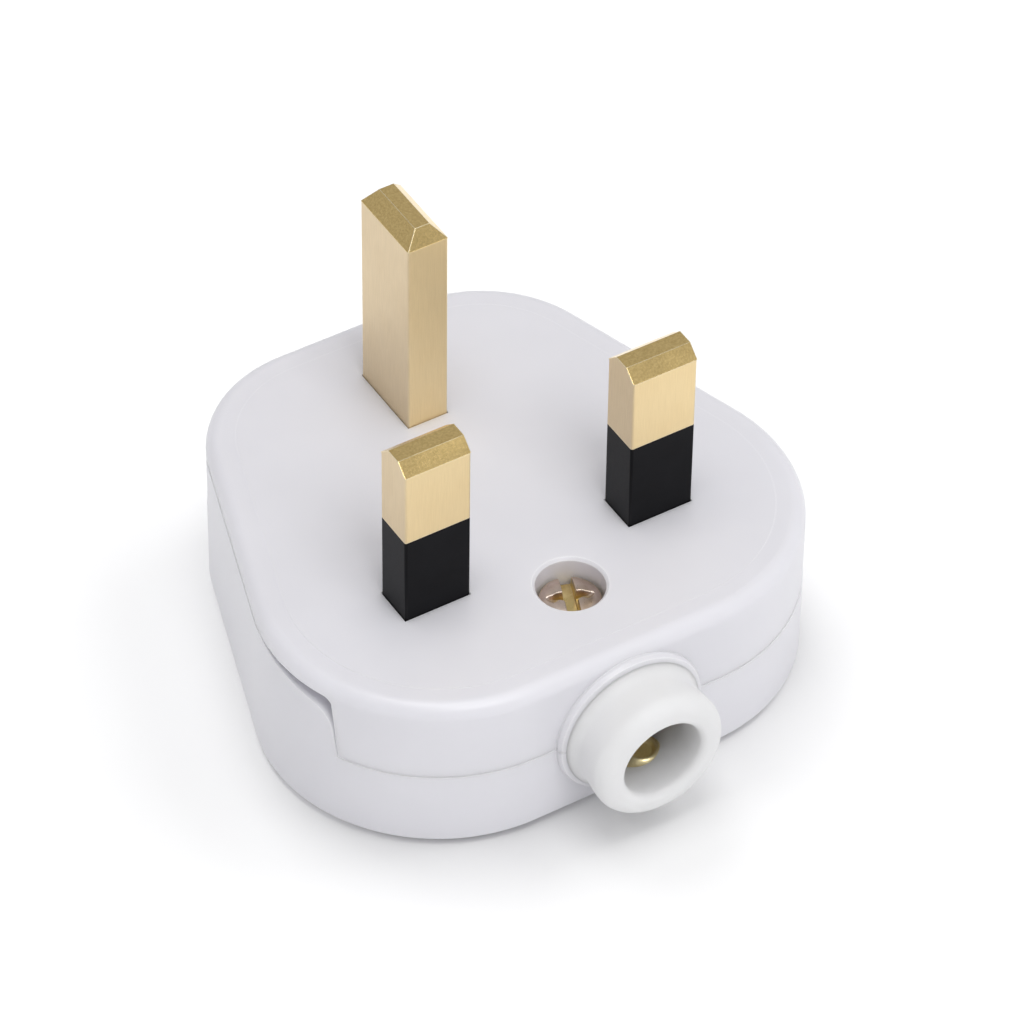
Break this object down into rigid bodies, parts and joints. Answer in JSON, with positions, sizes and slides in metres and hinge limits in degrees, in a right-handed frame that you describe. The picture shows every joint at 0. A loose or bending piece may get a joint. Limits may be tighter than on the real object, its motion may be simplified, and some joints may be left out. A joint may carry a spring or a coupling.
{
  "type": "uk three pin plug",
  "caption": "Rewirable mains plug with brass pins standing on a tapered two-part white housing, insulated pin roots, a cartridge fuse inside and a soft cord outlet sleeve.",
  "frame": {"origin": "on the pin face, midway between the live and neutral pins", "axes": "+Z along the pins out of the face, +Y towards the earth pin, +X from the live pin to the neutral pin"},
  "size_m": [0.0502, 0.0534, 0.0379],
  "materials": {
    "housing_white": "semi-gloss white moulding",
    "sleeve_white": "soft matte white",
    "pin_brass": "satin drawn brass",
    "insulation_black": "satin black",
    "screw_plated": "yellow passivated steel",
    "terminal_brass": "turned brass",
    "fuse_ceramic": "unglazed",
    "fuse_cap_metal": "nickel plated",
    "clip_metal": "spring brass sheet",
    "grip_fibre": "dark pressed fibre",
    "washer_fibre": "red fibre"
  },
  "bodies": {
    "root": {"pin_base": "housing_white", "cover": "housing_white", "outlet_sleeve": "sleeve_white", "live_pin": "pin_brass", "neutral_pin": "pin_brass", "earth_pin": "pin_brass", "live_pin_sleeve": "insulation_black", "neutral_pin_sleeve": "insulation_black", "cover_screw": "screw_plated", "screw_retaining_washer": "washer_fibre", "cover_insert": "terminal_brass", "live_terminal": "terminal_brass", "live_terminal_screw": "terminal_brass", "neutral_terminal_screw": "terminal_brass", "earth_terminal_screw": "terminal_brass", "fuse_body": "fuse_ceramic", "fuse_cap_pin_side": "fuse_cap_metal", "fuse_cap_terminal_side": "fuse_cap_metal", "fuse_clip_pin_side": "clip_metal", "fuse_clip_terminal_side": "clip_metal", "cord_grip_bar": "grip_fibre", "cord_grip_screw_left": "terminal_brass", "cord_grip_screw_right": "terminal_brass"}
  },
  "joints": []
}
